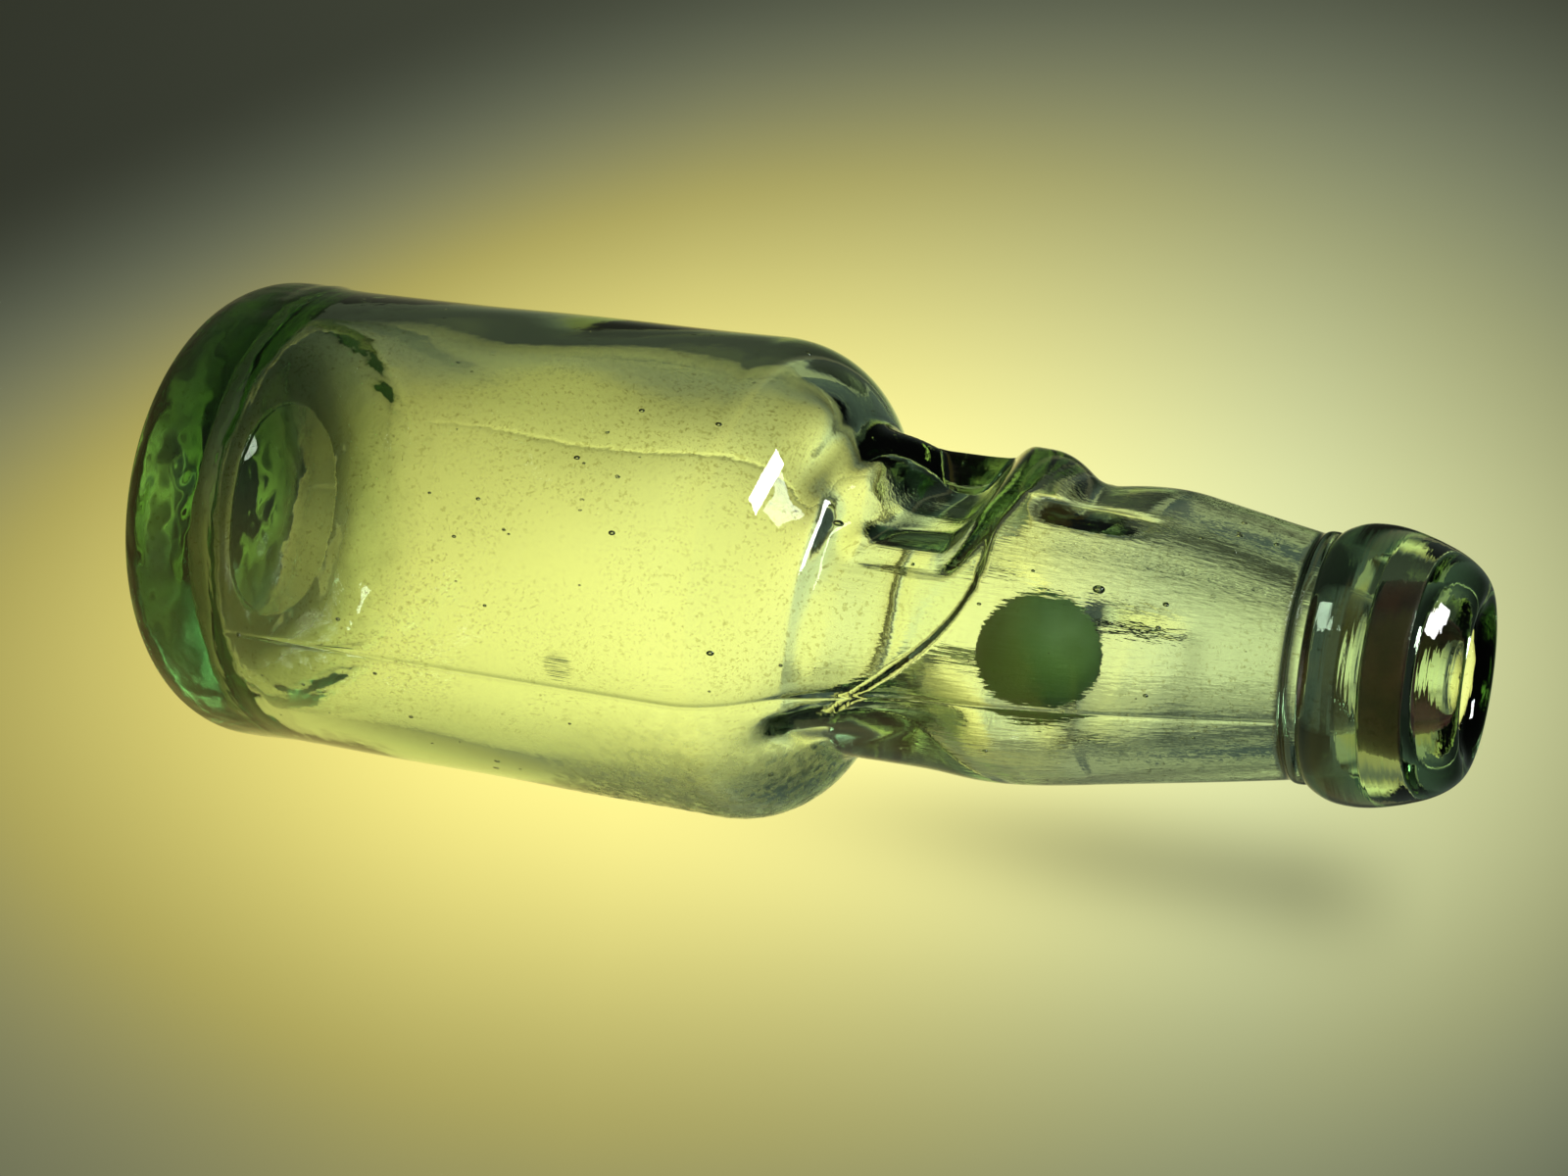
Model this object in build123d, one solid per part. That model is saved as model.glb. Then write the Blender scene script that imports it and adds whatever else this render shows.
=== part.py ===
"""Marble stopper bottle: a thick-walled glass bottle whose neck holds a loose glass marble, which
the gas of the drink drives up against a rubber ring inside the lip.

Millimetres, +Z up the bottle, origin at the centre of the foot. The mould seams run up the two
sides at +X and -X. The pinch that keeps the marble in the neck is pressed in from the front (-Y),
deep and wide, and from the back (+Y), shallower and narrower. Two lugs above it, one in each mould
half, hold the marble back when the bottle is poured with its -X side down.
"""
from math import atan2, cos, pi, radians, sin, sqrt, tan
from build123d import *
import os

# ---- outer form of the blown bottle ------------------------------------------------------------
BODY_RADIUS_LOW = 30.1       # just above the heel
BODY_RADIUS_HIGH = 30.75     # where the shoulder starts
BODY_HEIGHT = 78.2           # foot to the start of the shoulder
HEEL_RADIUS = 10.0           # rounding of the outer heel
FOOT_RADIUS = 13.5           # inner edge of the ring that the bottle stands on
PUSH_UP = 2.5                # rise of the hollow under the base
SHOULDER_RADIUS = 14.5       # rounding of the shoulder
WAIST_RADIUS = 20.3          # outside of the pinched stretch
WAIST_FILLET = 3.0           # hollow between shoulder and waist
WAIST_LENGTH = 9.0           # straight stretch above that hollow
CHAMBER_RADIUS = 20.65       # widest place of the marble chamber
CHAMBER_RISE = 8.5           # top of the waist to the widest place
CHAMBER_FALL = 13.3          # widest place to the start of the straight neck
NECK_RADIUS_LOW = 19.05      # start of the straight taper
NECK_RADIUS_HIGH = 14.65     # under the lip
NECK_LENGTH = 24.2           # the straight taper

# ---- walls -------------------------------------------------------------------------------------
BASE_THICKNESS = 9.0         # glass over the hollow under the base
FLOOR_RISE = 1.5             # how far the middle of the inner floor stands over its edge
BODY_WALL = 4.0
NECK_WALL = 3.4              # waist and chamber
NECK_WALL_HIGH = 4.35        # under the lip
INNER_HEEL_RADIUS = 8.0
PINCH_WALL = 3.3             # glass between the outer and inner face of a dent

# ---- pinch -------------------------------------------------------------------------------------
FRONT_PINCH_RISE = 8.2       # middle of the front groove above the end of the shoulder's hollow
BACK_PINCH_RISE = 9.4        # the same for the back groove
PINCH_FLOOR_RADIUS = 5.4     # rounding of the grooves' floors
PINCH_FLARE = 36.0           # degrees between a side of a groove and the radial direction
FRONT_PINCH_REACH = 10.1     # floor of the front groove to the bottle's axis
FRONT_PINCH_HALF_ANGLE = 50.0
BACK_PINCH_REACH = 11.2      # floor of the back groove to the bottle's axis
BACK_PINCH_HALF_ANGLE = 28.0
PINCH_END_FILLET = 2.5       # rounding between a groove and its two end walls

# ---- lugs --------------------------------------------------------------------------------------
LUG_ANGLE = 66.0             # degrees from the -X side to the middle of each lug
LUG_HALF_ANGLE = 32.0
LUG_REACH = 16.3             # floor of a lug to the bottle's axis
LUG_RISE = 18.4              # lowest point of its floor above the middle of the front groove
LUG_FLAT = 2.0               # straight stretch of its floor
LUG_LOWER_SLOPE = 45.0       # degrees between its lower side and the axis
LUG_UPPER_SLOPE = 16.0       # degrees between its upper side and the axis

# ---- applied lip -------------------------------------------------------------------------------
LIP_HEIGHT = 19.5
LIP_RADIUS = 16.75           # widest place
LIP_BELLY_HEIGHT = 7.1       # of the widest place above the lip's foot
LIP_OVERHANG = 0.2           # how far the lip's foot stands out from the neck
LIP_SHOULDER_RADIUS = 14.9   # where its side turns over to the top
LIP_SHOULDER_DROP = 4.5      # of that place below the top
LIP_CROWN_RADIUS = 10.2      # highest circle of the top
MOUTH_RADIUS = 7.6           # bore that an opener's plunger goes into
MOUTH_LENGTH = 4.1           # straight bore between the rounded edge and the ring's groove
LEDGE_RADIUS = 8.8           # glass under the ring's groove, wide enough for the marble
LEDGE_HEIGHT = 2.6
GROOVE_RADIUS = 11.0
GROOVE_HEIGHT = 5.0

# ---- rubber ring and marble --------------------------------------------------------------------
RING_INNER_RADIUS = 6.9
RING_CLEARANCE = 0.05        # between the ring and its groove
RING_EDGE_ROUND = 0.8
MARBLE_RADIUS = 8.0
MARBLE_REST_BACK = 4.7       # from the axis towards the back pinch, where the marble lies
MARBLE_REST_SIDE = 1.2       # from the axis towards +X, where it lies
MARBLE_REST_GAP = 0.25       # between the marble and the shelf that it lies on
MARBLE_SEAT_GAP = 0.1        # between the marble and the rubber ring at the top of its way

CUTTER_REACH = 45.0          # from the axis to the far side of each cutter, outside the glass
CUTTER_HEIGHT = 60.0

# ---- heights and radii that follow -------------------------------------------------------------
shoulder_axis = BODY_RADIUS_HIGH - SHOULDER_RADIUS
waist_start = BODY_HEIGHT + sqrt((SHOULDER_RADIUS + WAIST_FILLET) ** 2
                                 - (WAIST_RADIUS + WAIST_FILLET - shoulder_axis) ** 2)
waist_end = waist_start + WAIST_LENGTH
chamber_height = waist_end + CHAMBER_RISE
neck_start = chamber_height + CHAMBER_FALL
lip_foot = neck_start + NECK_LENGTH
lip_top = lip_foot + LIP_HEIGHT
front_pinch_height = waist_start + FRONT_PINCH_RISE
back_pinch_height = waist_start + BACK_PINCH_RISE
lug_height = front_pinch_height + LUG_RISE
neck_bore = NECK_RADIUS_HIGH - NECK_WALL_HIGH
mouth_round = LIP_CROWN_RADIUS - MOUTH_RADIUS
groove_top = lip_top - mouth_round - MOUTH_LENGTH
groove_floor = groove_top - GROOVE_HEIGHT
ring_floor = groove_floor + RING_CLEARANCE
ring_top = groove_top - RING_CLEARANCE


def on_circle(centre, radius, angle):
    """Point of a circle in the half-section; the angle is in radians from the radial direction."""
    return centre[0] + radius * cos(angle), centre[1] + radius * sin(angle)


def revolved(outline):
    """Solid of revolution about Z from a closed half-section drawn as radius and height."""
    return revolve(Plane.XZ * make_face(outline), axis=Axis.Z)


def side_outline(foot_height, body_low, body_high, round_radius, waist, fillet_radius,
                 chamber, neck_low, neck_high):
    """Half-section from the heel up to the lip's foot, for the outside or the inside."""
    reach = waist + fillet_radius - shoulder_axis
    rise = sqrt((round_radius + fillet_radius) ** 2 - reach ** 2)
    lean = atan2(rise, reach)
    shoulder_centre = (shoulder_axis, BODY_HEIGHT)
    fillet_centre = (waist + fillet_radius, BODY_HEIGHT + rise)
    meeting = on_circle(shoulder_centre, round_radius, lean)
    taper = (neck_low - neck_high) / NECK_LENGTH
    return (
        Line((body_low, foot_height), (body_high, BODY_HEIGHT))
        + ThreePointArc((body_high, BODY_HEIGHT),
                        on_circle(shoulder_centre, round_radius, lean / 2), meeting)
        + ThreePointArc(meeting, on_circle(fillet_centre, fillet_radius, (lean + 2 * pi) / 2),
                        (waist, fillet_centre[1]))
        + Line((waist, fillet_centre[1]), (waist, waist_end))
        + Spline((waist, waist_end), (chamber, chamber_height), (neck_low, neck_start),
                 tangents=((0, 1), (-taper, 1)))
        + Line((neck_low, neck_start), (neck_high, lip_foot))
    )


def blown_form():
    """The bottle without its dents, as if it were solid glass up to the lip's foot."""
    heel_axis = BODY_RADIUS_LOW - HEEL_RADIUS
    return revolved(
        Spline((0, PUSH_UP), (FOOT_RADIUS, 0), tangents=((1, 0), (1, -PUSH_UP / FOOT_RADIUS)))
        + Line((FOOT_RADIUS, 0), (heel_axis, 0))
        + ThreePointArc((heel_axis, 0), on_circle((heel_axis, HEEL_RADIUS), HEEL_RADIUS, -pi / 4),
                        (BODY_RADIUS_LOW, HEEL_RADIUS))
        + side_outline(HEEL_RADIUS, BODY_RADIUS_LOW, BODY_RADIUS_HIGH, SHOULDER_RADIUS,
                       WAIST_RADIUS, WAIST_FILLET, CHAMBER_RADIUS, NECK_RADIUS_LOW,
                       NECK_RADIUS_HIGH)
        + Line((NECK_RADIUS_HIGH, lip_foot), (0, lip_foot))
        + Line((0, lip_foot), (0, PUSH_UP))
    )


def hollow_form():
    """The space inside the bottle without its dents."""
    inner_low = BODY_RADIUS_LOW - BODY_WALL
    heel_axis = inner_low - INNER_HEEL_RADIUS
    floor_edge = PUSH_UP + BASE_THICKNESS - FLOOR_RISE
    heel_top = floor_edge + INNER_HEEL_RADIUS
    return revolved(
        Spline((0, floor_edge + FLOOR_RISE), (heel_axis, floor_edge), tangents=((1, 0), (1, 0)))
        + ThreePointArc((heel_axis, floor_edge),
                        on_circle((heel_axis, heel_top), INNER_HEEL_RADIUS, -pi / 4),
                        (inner_low, heel_top))
        + side_outline(heel_top, inner_low, BODY_RADIUS_HIGH - BODY_WALL,
                       SHOULDER_RADIUS - BODY_WALL, WAIST_RADIUS - NECK_WALL,
                       WAIST_FILLET + NECK_WALL, CHAMBER_RADIUS - NECK_WALL,
                       NECK_RADIUS_LOW - NECK_WALL, neck_bore)
        + Line((neck_bore, lip_foot), (0, lip_foot))
        + Line((0, lip_foot), (0, floor_edge + FLOOR_RISE))
    )


def sector(half_angle, growth):
    """Upright wedge about the +X direction; growth moves its two faces outwards."""
    apex = -growth / sin(radians(half_angle))
    spread = (CUTTER_REACH - apex) * tan(radians(half_angle))
    corners = Polyline((apex, 0), (CUTTER_REACH, -spread), (CUTTER_REACH, spread), (apex, 0))
    return Pos(0, 0, -CUTTER_HEIGHT / 2) * extrude(make_face(corners), amount=CUTTER_HEIGHT)


def round_ends(cutter, radius):
    """Round the edges that bound the cutter's two end walls, apart from those outside the glass."""
    walls = [face for face in cutter.faces().filter_by(GeomType.PLANE)
             if abs(face.normal_at().Z) < 0.01 and abs(face.normal_at().X) < 0.99]
    outside = CUTTER_REACH - 0.01
    edges = [edge for wall in walls for edge in wall.edges()
             if edge.bounding_box().min.X < outside]
    return fillet(edges, radius)


def pinch_groove(reach, half_angle, growth):
    """Round-bottomed groove across the +X direction, at height 0, that flares outwards."""
    centre = (reach + PINCH_FLOOR_RADIUS, 0)
    radius = PINCH_FLOOR_RADIUS + growth
    flare = radians(PINCH_FLARE)
    upper = on_circle(centre, radius, pi / 2 + flare)
    lower = on_circle(centre, radius, -pi / 2 - flare)
    outer_height = upper[1] + (CUTTER_REACH - upper[0]) * tan(flare)
    section = (
        ThreePointArc(lower, on_circle(centre, radius, pi), upper)
        + Line(upper, (CUTTER_REACH, outer_height))
        + Line((CUTTER_REACH, outer_height), (CUTTER_REACH, -outer_height))
        + Line((CUTTER_REACH, -outer_height), lower)
    )
    groove = extrude(Plane.XZ * make_face(section), amount=2 * CUTTER_REACH, both=True)
    return round_ends(groove & sector(half_angle, growth), PINCH_END_FILLET + growth)


def lug_dent(growth):
    """Dent towards the +X direction, at height 0, with a steep lower and a long upper side."""
    floor = LUG_REACH - growth
    lower_drop = (CUTTER_REACH - floor) * tan(radians(90 - LUG_LOWER_SLOPE))
    upper_rise = (CUTTER_REACH - floor) * tan(radians(90 - LUG_UPPER_SLOPE))
    low = -growth * tan(radians(LUG_LOWER_SLOPE) / 2)
    high = LUG_FLAT + growth * tan(radians(LUG_UPPER_SLOPE) / 2)
    section = Polyline((floor, low), (floor, high), (CUTTER_REACH, high + upper_rise),
                       (CUTTER_REACH, low - lower_drop), (floor, low))
    return revolve(Plane.XZ * make_face(section), axis=Axis.Z) & sector(LUG_HALF_ANGLE, growth)


def dents(growth):
    """All the dents of the neck, as cutters; growth makes them the inner faces of the same dents."""
    front = Pos(0, 0, front_pinch_height) * Rot(0, 0, -90) * pinch_groove(
        FRONT_PINCH_REACH, FRONT_PINCH_HALF_ANGLE, growth)
    back = Pos(0, 0, back_pinch_height) * Rot(0, 0, 90) * pinch_groove(
        BACK_PINCH_REACH, BACK_PINCH_HALF_ANGLE, growth)
    lugs = [Pos(0, 0, lug_height) * Rot(0, 0, 180 + turn) * lug_dent(growth)
            for turn in (LUG_ANGLE, -LUG_ANGLE)]
    return [front, back] + lugs


def bottle_glass():
    """Body, pinched neck and marble chamber, blown in one piece."""
    outside = blown_form()
    for dent in dents(0):
        outside = outside - dent
    inside = hollow_form()
    for dent in dents(PINCH_WALL):
        inside = inside - dent
    return outside - inside


def applied_lip():
    """Thick collar laid on by hand, with the mouth's bore and the groove for the rubber ring."""
    shoulder_height = lip_top - LIP_SHOULDER_DROP
    outline = (
        Line((neck_bore, lip_foot), (NECK_RADIUS_HIGH + LIP_OVERHANG, lip_foot))
        + Spline((NECK_RADIUS_HIGH + LIP_OVERHANG, lip_foot),
                 (LIP_RADIUS, lip_foot + LIP_BELLY_HEIGHT),
                 (LIP_SHOULDER_RADIUS, shoulder_height),
                 (LIP_CROWN_RADIUS, lip_top), tangents=((1, 1.6), (-1, 0)))
        + ThreePointArc((LIP_CROWN_RADIUS, lip_top),
                        on_circle((LIP_CROWN_RADIUS, lip_top - mouth_round), mouth_round,
                                  3 * pi / 4),
                        (MOUTH_RADIUS, lip_top - mouth_round))
        + Polyline((MOUTH_RADIUS, lip_top - mouth_round), (MOUTH_RADIUS, groove_top),
                   (GROOVE_RADIUS, groove_top), (GROOVE_RADIUS, groove_floor),
                   (LEDGE_RADIUS, groove_floor), (LEDGE_RADIUS, groove_floor - LEDGE_HEIGHT),
                   (neck_bore, lip_foot))
    )
    return revolved(outline)


def sealing_ring():
    """Rubber ring in the lip's groove, with rounded edges that the marble seats on."""
    width = GROOVE_RADIUS - RING_CLEARANCE - RING_INNER_RADIUS
    section = Pos(RING_INNER_RADIUS + width / 2, (ring_floor + ring_top) / 2) * RectangleRounded(
        width, ring_top - ring_floor, RING_EDGE_ROUND)
    return revolve(Plane.XZ * section, axis=Axis.Z)


def marble_rest():
    """Centre of the marble where it lies on the back pinch's shelf."""
    shelf_axis = BACK_PINCH_REACH + PINCH_FLOOR_RADIUS
    reach = PINCH_FLOOR_RADIUS + PINCH_WALL + MARBLE_RADIUS + MARBLE_REST_GAP
    rise = sqrt(reach ** 2 - (shelf_axis - MARBLE_REST_BACK) ** 2)
    return Vector(MARBLE_REST_SIDE, MARBLE_REST_BACK, back_pinch_height + rise)


def marble_seat():
    """Centre of the marble where the gas presses it against the rubber ring."""
    reach = MARBLE_RADIUS + RING_EDGE_ROUND + MARBLE_SEAT_GAP
    edge_axis = RING_INNER_RADIUS + RING_EDGE_ROUND
    return Vector(0, 0, ring_floor + RING_EDGE_ROUND - sqrt(reach ** 2 - edge_axis ** 2))


def marble():
    """Glass marble, ground round."""
    return Pos(*marble_rest()) * Sphere(MARBLE_RADIUS)


os.makedirs("parts", exist_ok=True)
for build in (bottle_glass, applied_lip, sealing_ring, marble):
    export_step(build(), f"parts/{build.__name__}.step")

way = marble_seat() - marble_rest()
print("marble from", tuple(round(v, 3) for v in marble_rest()), "to",
      tuple(round(v, 3) for v in marble_seat()))
print("travel", round(way.length, 3), "along", tuple(round(v, 5) for v in way.normalized()))
print("lip foot", round(lip_foot, 3), "top", round(lip_top, 3),
      "pinch", round(front_pinch_height, 3),
      "mouth bore from", round(groove_top, 3), "to", round(lip_top - mouth_round, 3))
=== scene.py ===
"""Looks of the marble stopper bottle: the glass with its dents, seams, seeds and wear, the marble and
the rubber ring, on a pale glowing floor.

The shapes are in millimetres up to the moment a mesh is made; materials, floor glow and lamps are in
metres. Named angles are degrees unless a comment says radians. The glass is described round the
bottle's axis: how far its outer and inner faces stand from the axis at each angle and height.
"""
from math import atan2, cos, hypot, pi, radians, sin, sqrt, tan

import bpy
import numpy as np
from mathutils import Matrix, Quaternion, Vector


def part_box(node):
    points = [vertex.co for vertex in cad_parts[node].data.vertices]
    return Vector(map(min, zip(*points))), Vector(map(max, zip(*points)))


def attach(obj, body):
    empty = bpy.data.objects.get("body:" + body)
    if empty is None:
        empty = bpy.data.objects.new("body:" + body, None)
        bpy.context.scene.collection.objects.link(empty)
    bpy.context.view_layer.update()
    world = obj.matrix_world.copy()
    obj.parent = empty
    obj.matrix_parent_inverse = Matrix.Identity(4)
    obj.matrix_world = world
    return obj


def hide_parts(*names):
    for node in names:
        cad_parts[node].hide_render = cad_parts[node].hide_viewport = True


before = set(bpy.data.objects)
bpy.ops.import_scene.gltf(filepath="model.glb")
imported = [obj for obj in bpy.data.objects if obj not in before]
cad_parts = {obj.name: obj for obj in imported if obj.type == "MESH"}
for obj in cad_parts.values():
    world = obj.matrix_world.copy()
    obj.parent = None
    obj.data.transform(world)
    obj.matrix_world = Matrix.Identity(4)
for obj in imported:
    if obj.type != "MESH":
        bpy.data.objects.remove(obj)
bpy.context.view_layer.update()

MM = 0.001

# ---- outer form
BODY_RADIUS_LOW = 30.1       # just above the heel
BODY_RADIUS_HIGH = 30.75     # where the shoulder starts
BODY_HEIGHT = 78.2           # foot to the start of the shoulder
HEEL_RADIUS = 10.0
FOOT_RADIUS = 13.5           # inner edge of the ring that the bottle stands on
PUSH_UP = 2.5                # rise of the hollow under the base
SHOULDER_RADIUS = 14.5
WAIST_RADIUS = 20.3
WAIST_FILLET = 3.0           # hollow between shoulder and waist
WAIST_LENGTH = 9.0           # straight stretch above that hollow
CHAMBER_RADIUS = 20.65       # widest place of the marble chamber
CHAMBER_RISE = 8.5           # top of the waist to the widest place
CHAMBER_FALL = 13.3          # widest place to the start of the straight neck
NECK_RADIUS_LOW = 19.05
NECK_RADIUS_HIGH = 14.65     # under the lip

# ---- walls
BASE_THICKNESS = 8.2         # glass over the hollow under the base
FLOOR_RISE = 0.7             # how far the middle of the inner floor stands over its edge
BODY_WALL = 4.0              # up to the top of the waist
NECK_WALL = 3.4              # of the chamber and the start of the neck
NECK_WALL_HIGH = 4.35        # under the lip
INNER_HEEL_RADIUS = 8.0
PINCH_WALL = 3.3             # glass between the outer and inner face of a dent

# ---- pinch and lugs
FRONT_PINCH_RISE = 8.2       # middle of its groove above the shoulder's hollow
BACK_PINCH_RISE = 9.4
PINCH_FLOOR_RADIUS = 5.4     # rounding of the grooves' floors
PINCH_FLARE = 36.0           # between a side of a groove and the radial direction
FRONT_PINCH_REACH = 10.1     # floor of its groove to the bottle's axis
FRONT_PINCH_HALF_ANGLE = 51.0
BACK_PINCH_REACH = 11.2
BACK_PINCH_HALF_ANGLE = 29.0
PINCH_END_LEAN = 13.0        # of a pinch's end walls, away from the radial direction
NEAR_HALF_ANGLE = 44.0       # of the front pinch's end wall towards +X, which slopes gently
NEAR_LEAN = 36.0
PINCH_END_ROUND = 3.0
DENT_EDGE_ROUND = 2.2        # where a dent meets the round outside
FLAT_TURN = 1.35             # radians from a pinch's middle up to which its groove runs straight
LEAST_SLOPE = 0.02           # radians; an end wall that slopes less is out of reach

INNER_SPREAD = 0.737         # share of the turn that counts inside, so a ledge runs on to the seams
LEDGE_TURN = pi / 2 + 0.1    # radians from a ledge's middle up to which it keeps falling back
INNER_DROP = 5.0             # of a ledge at the seam on +X
INNER_FLARE = 38.0           # of a ledge's side towards the chamber
SHOULDER_FLARE = 24.0        # of its side towards the body
LEDGE_ROUND = 0.5            # where a ledge meets the round inside
THICK_WALL = 12.0            # glass that a ledge may have beyond the body's wall
THIN_ARC = (-15, 5, 75, 100)     # from the back pinch's middle, where a ledge has none of that
EVEN_WALL = 4.9              # of the front beside the seam on +X, up to the crease
EVEN_HEIGHTS = (74, 94)      # where the body's wall thickens to that
EVEN_TURN = 40               # from the front pinch's middle to where it is all even
EVEN_END = (8, 21)           # it ends beyond the seam on +X
WALLED_HEIGHTS = (60, 80)    # where both stretches start
CREASE_HEIGHT = 112.5        # of the edge where the front's even wall steps down to the chamber's
CREASE_TURN = 33.0           # how far round from the pinch's middle it starts to fall
CREASE_LENGTH = 64.0
CREASE_DROP = 15.6
CREASE_POWER = 2.25
CREASE_ROUND = 0.3

FILL_RADIUS = 24.2           # the corner between shoulder and waist is filled beside the seam on +X
FILL_SLOPE = 0.36
FILL_DEPTH = 4.6             # how much it falls off at the end of its reach
FILL_FRONT = 44.0            # how far it reaches to each side of the seam
FILL_BACK = 25.0
FILL_FALL_LIMIT = 4          # it falls off by no more than this many times its depth
FILL_RISE = (5, 13)          # above the start of the shoulder, where it sets in
FILL_ROUND = 3.5

LUG_ANGLE = 66.0             # from the -X side to the middle of each lug
LUG_HALF_ANGLE = 34.0
LUG_REACH = 16.3             # floor of a lug to the bottle's axis
LUG_RISE = 18.4              # lowest point of its floor above the middle of the front groove
LUG_FLAT = 2.0               # straight stretch of its floor
LUG_LOWER_SLOPE = 45.0       # between its lower side and the axis
LUG_UPPER_SLOPE = 16.0
LUG_END_LEAN = 24.0
LUG_ROUND = 3.0
BACK_LUG_LEAN = 12.0         # the back lug has sharper ends
BACK_LUG_ROUND = 1.4
INNER_ROUND = 1.4            # where a lug meets the round inside

# ---- lip
LIP_RADIUS = 16.75           # widest place
LIP_BELLY_HEIGHT = 7.1       # of the widest place above the lip's foot
LIP_OVERHANG = 0.2           # how far the lip's foot stands out from the neck
LIP_LINE_HEIGHT = 1.7        # of the second of the two lines at its foot
LIP_LINE_STEP = 0.05         # how far that line stands out from the foot
LIP_BEAD = 0.25              # swelling between the two lines
LIP_BEAD_HEIGHT = 0.7
LIP_START_RADIUS = 16.3
LIP_START_HEIGHT = 3.9
LIP_ARRIS_RADIUS = 15.55
LIP_ARRIS_DROP = 6.4         # below the top
LIP_SHOULDER_RADIUS = 14.7
LIP_SHOULDER_DROP = 4.2
LIP_CROWN_RADIUS = 10.2      # highest circle of the top
MOUTH_RADIUS = 7.6
MOUTH_LENGTH = 4.1           # straight bore between the rounded edge and the ring's groove
LEDGE_RADIUS = 8.8           # glass under the ring's groove
LEDGE_HEIGHT = 2.6
GROOVE_RADIUS = 11.0
GROOVE_HEIGHT = 5.0
CORNER_ROUND = 0.35          # of the cut corners inside the lip

# ---- heights that follow, from the solids where they have them
lip_foot, lip_top = (corner.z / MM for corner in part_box("applied_lip"))
shoulder_axis = BODY_RADIUS_HIGH - SHOULDER_RADIUS
waist_start = BODY_HEIGHT + sqrt((SHOULDER_RADIUS + WAIST_FILLET) ** 2
                                 - (WAIST_RADIUS + WAIST_FILLET - shoulder_axis) ** 2)
waist_end = waist_start + WAIST_LENGTH
chamber_height = waist_end + CHAMBER_RISE
neck_start = chamber_height + CHAMBER_FALL
neck_length = lip_foot - neck_start
front_pinch_height = waist_start + FRONT_PINCH_RISE
back_pinch_height = waist_start + BACK_PINCH_RISE
lug_height = front_pinch_height + LUG_RISE
neck_bore = NECK_RADIUS_HIGH - NECK_WALL_HIGH
mouth_round = LIP_CROWN_RADIUS - MOUTH_RADIUS
groove_top = lip_top - mouth_round - MOUTH_LENGTH
groove_floor = groove_top - GROOVE_HEIGHT

# ---- camera: solved from the bottle's outline in the photograph
CAMERA_AZIMUTH = 57.0        # round the bottle, from the -Y side towards +X
CAMERA_DISTANCE = 401.758    # from the bottle's axis
CAMERA_HEIGHT = 235.434      # over the foot
CAMERA_YAW = -20.947         # along the bottle, towards its foot
CAMERA_PITCH = -0.112
CAMERA_ROLL = -8.171
CAMERA_LENS = 78.87          # for a sensor 36 mm wide
SENSOR_WIDTH = 36.0


# ==== curves of the half-section
def line(start, end, steps):
    """Points from start to end, without end."""
    share = np.linspace(0, 1, steps, endpoint=False)[:, None]
    return (1 - share) * np.array(start, float) + share * np.array(end, float)


def arc(centre, radius, start, end, steps):
    """Points of a circular arc between two angles in radians, without the last."""
    angle = np.linspace(start, end, steps, endpoint=False)
    return np.stack([centre[0] + radius * np.cos(angle), centre[1] + radius * np.sin(angle)], 1)


def bend(points, tangents, steps):
    """Cubic through the points, with a direction at each, without the last point."""
    out = []
    for k in range(len(points) - 1):
        start, end = np.array(points[k], float), np.array(points[k + 1], float)
        size = np.linalg.norm(end - start)
        lead, trail = (size * np.array(t, float) / hypot(*t) for t in tangents[k:k + 2])
        s = np.linspace(0, 1, steps, endpoint=False)[:, None]
        out.append((2 * s**3 - 3 * s**2 + 1) * start + (s**3 - 2 * s**2 + s) * lead
                   + (3 * s**2 - 2 * s**3) * end + (s**3 - s**2) * trail)
    return np.concatenate(out)


def rounded(corners, radius, steps=4):
    """Straight stretches through the corners, the inner ones rounded; without the last point."""
    corners = [np.array(c, float) for c in corners]
    out = [corners[0][None]]
    for before, corner, after in zip(corners, corners[1:], corners[2:]):
        back = (before - corner) / np.linalg.norm(before - corner)
        ahead = (after - corner) / np.linalg.norm(after - corner)
        cut = radius / tan(np.arccos(np.clip(back @ ahead, -1, 1)) / 2)
        s = np.linspace(0, 1, steps)[:, None]
        out.append((1 - s) ** 2 * (corner + back * cut) + 2 * s * (1 - s) * corner
                   + s**2 * (corner + ahead * cut))
    return np.concatenate(out)


def side_profile(foot_height, body_low, body_high, round_radius, waist, fillet_radius,
                 chamber, neck_low, neck_high):
    """Half-section from the heel up to the lip's foot, for the outside or the inside."""
    reach = waist + fillet_radius - shoulder_axis
    rise = sqrt((round_radius + fillet_radius) ** 2 - reach ** 2)
    lean = atan2(rise, reach)
    taper = (neck_low - neck_high) / neck_length
    return np.concatenate([
        line((body_low, foot_height), (body_high, BODY_HEIGHT), 60),
        arc((shoulder_axis, BODY_HEIGHT), round_radius, 0, lean, 30),
        arc((waist + fillet_radius, BODY_HEIGHT + rise), fillet_radius, lean + pi, pi, 10),
        line((waist, BODY_HEIGHT + rise), (waist, waist_end), 18),
        bend([(waist, waist_end), (chamber, chamber_height), (neck_low, neck_start)],
             [(0, 1), (-0.02, 1), (-taper, 1)], 22),
        line((neck_low, neck_start), (neck_high, lip_foot), 40),
    ])


def outer_side():
    """From the heel up the outside to the lip's foot."""
    return side_profile(HEEL_RADIUS, BODY_RADIUS_LOW, BODY_RADIUS_HIGH, SHOULDER_RADIUS, WAIST_RADIUS,
                        WAIST_FILLET, CHAMBER_RADIUS, NECK_RADIUS_LOW, NECK_RADIUS_HIGH)


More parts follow.
